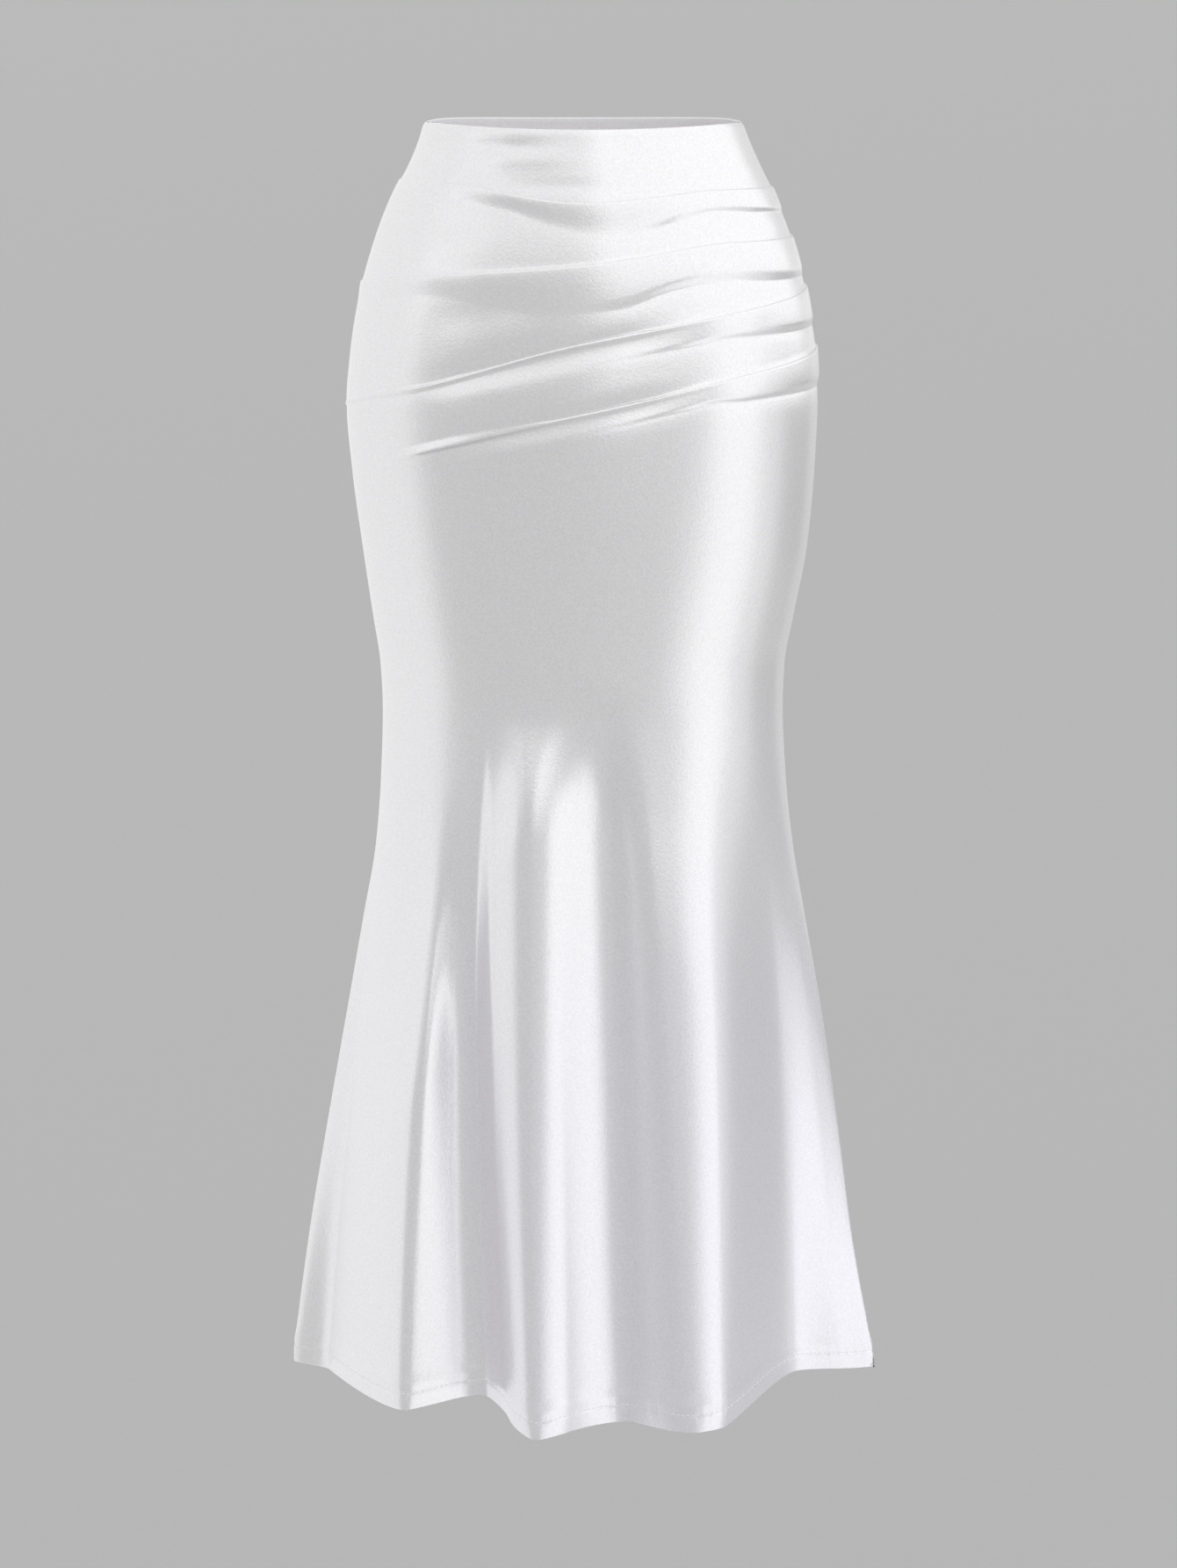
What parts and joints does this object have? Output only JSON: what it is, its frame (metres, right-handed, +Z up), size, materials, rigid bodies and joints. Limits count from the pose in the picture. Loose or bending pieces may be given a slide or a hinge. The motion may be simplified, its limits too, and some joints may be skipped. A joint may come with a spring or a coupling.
{
  "type": "mermaid fishtail skirt",
  "caption": "High-waisted maxi skirt in white satin, tucked across the front hips, narrow to the knee and flaring into a rippled fishtail hem.",
  "frame": {"origin": "middle of the waist opening, level with the waistband's upper edge at the side seams, where the wearer's waist holds the skirt", "axes": "+Z up, out of the waist; -Y is the front of the skirt; +X is the wearer's left, the side whose seam takes in the tucks"},
  "size_m": [0.4494, 0.3115, 0.9622],
  "materials": {
    "waistband_satin": "glossy white stretch satin, doubled",
    "skirt_satin": "glossy white stretch satin, single layer"
  },
  "bodies": {
    "root": {"waistband_front": "waistband_satin", "waistband_back": "waistband_satin", "skirt_front": "skirt_satin", "skirt_back": "skirt_satin"}
  },
  "joints": []
}
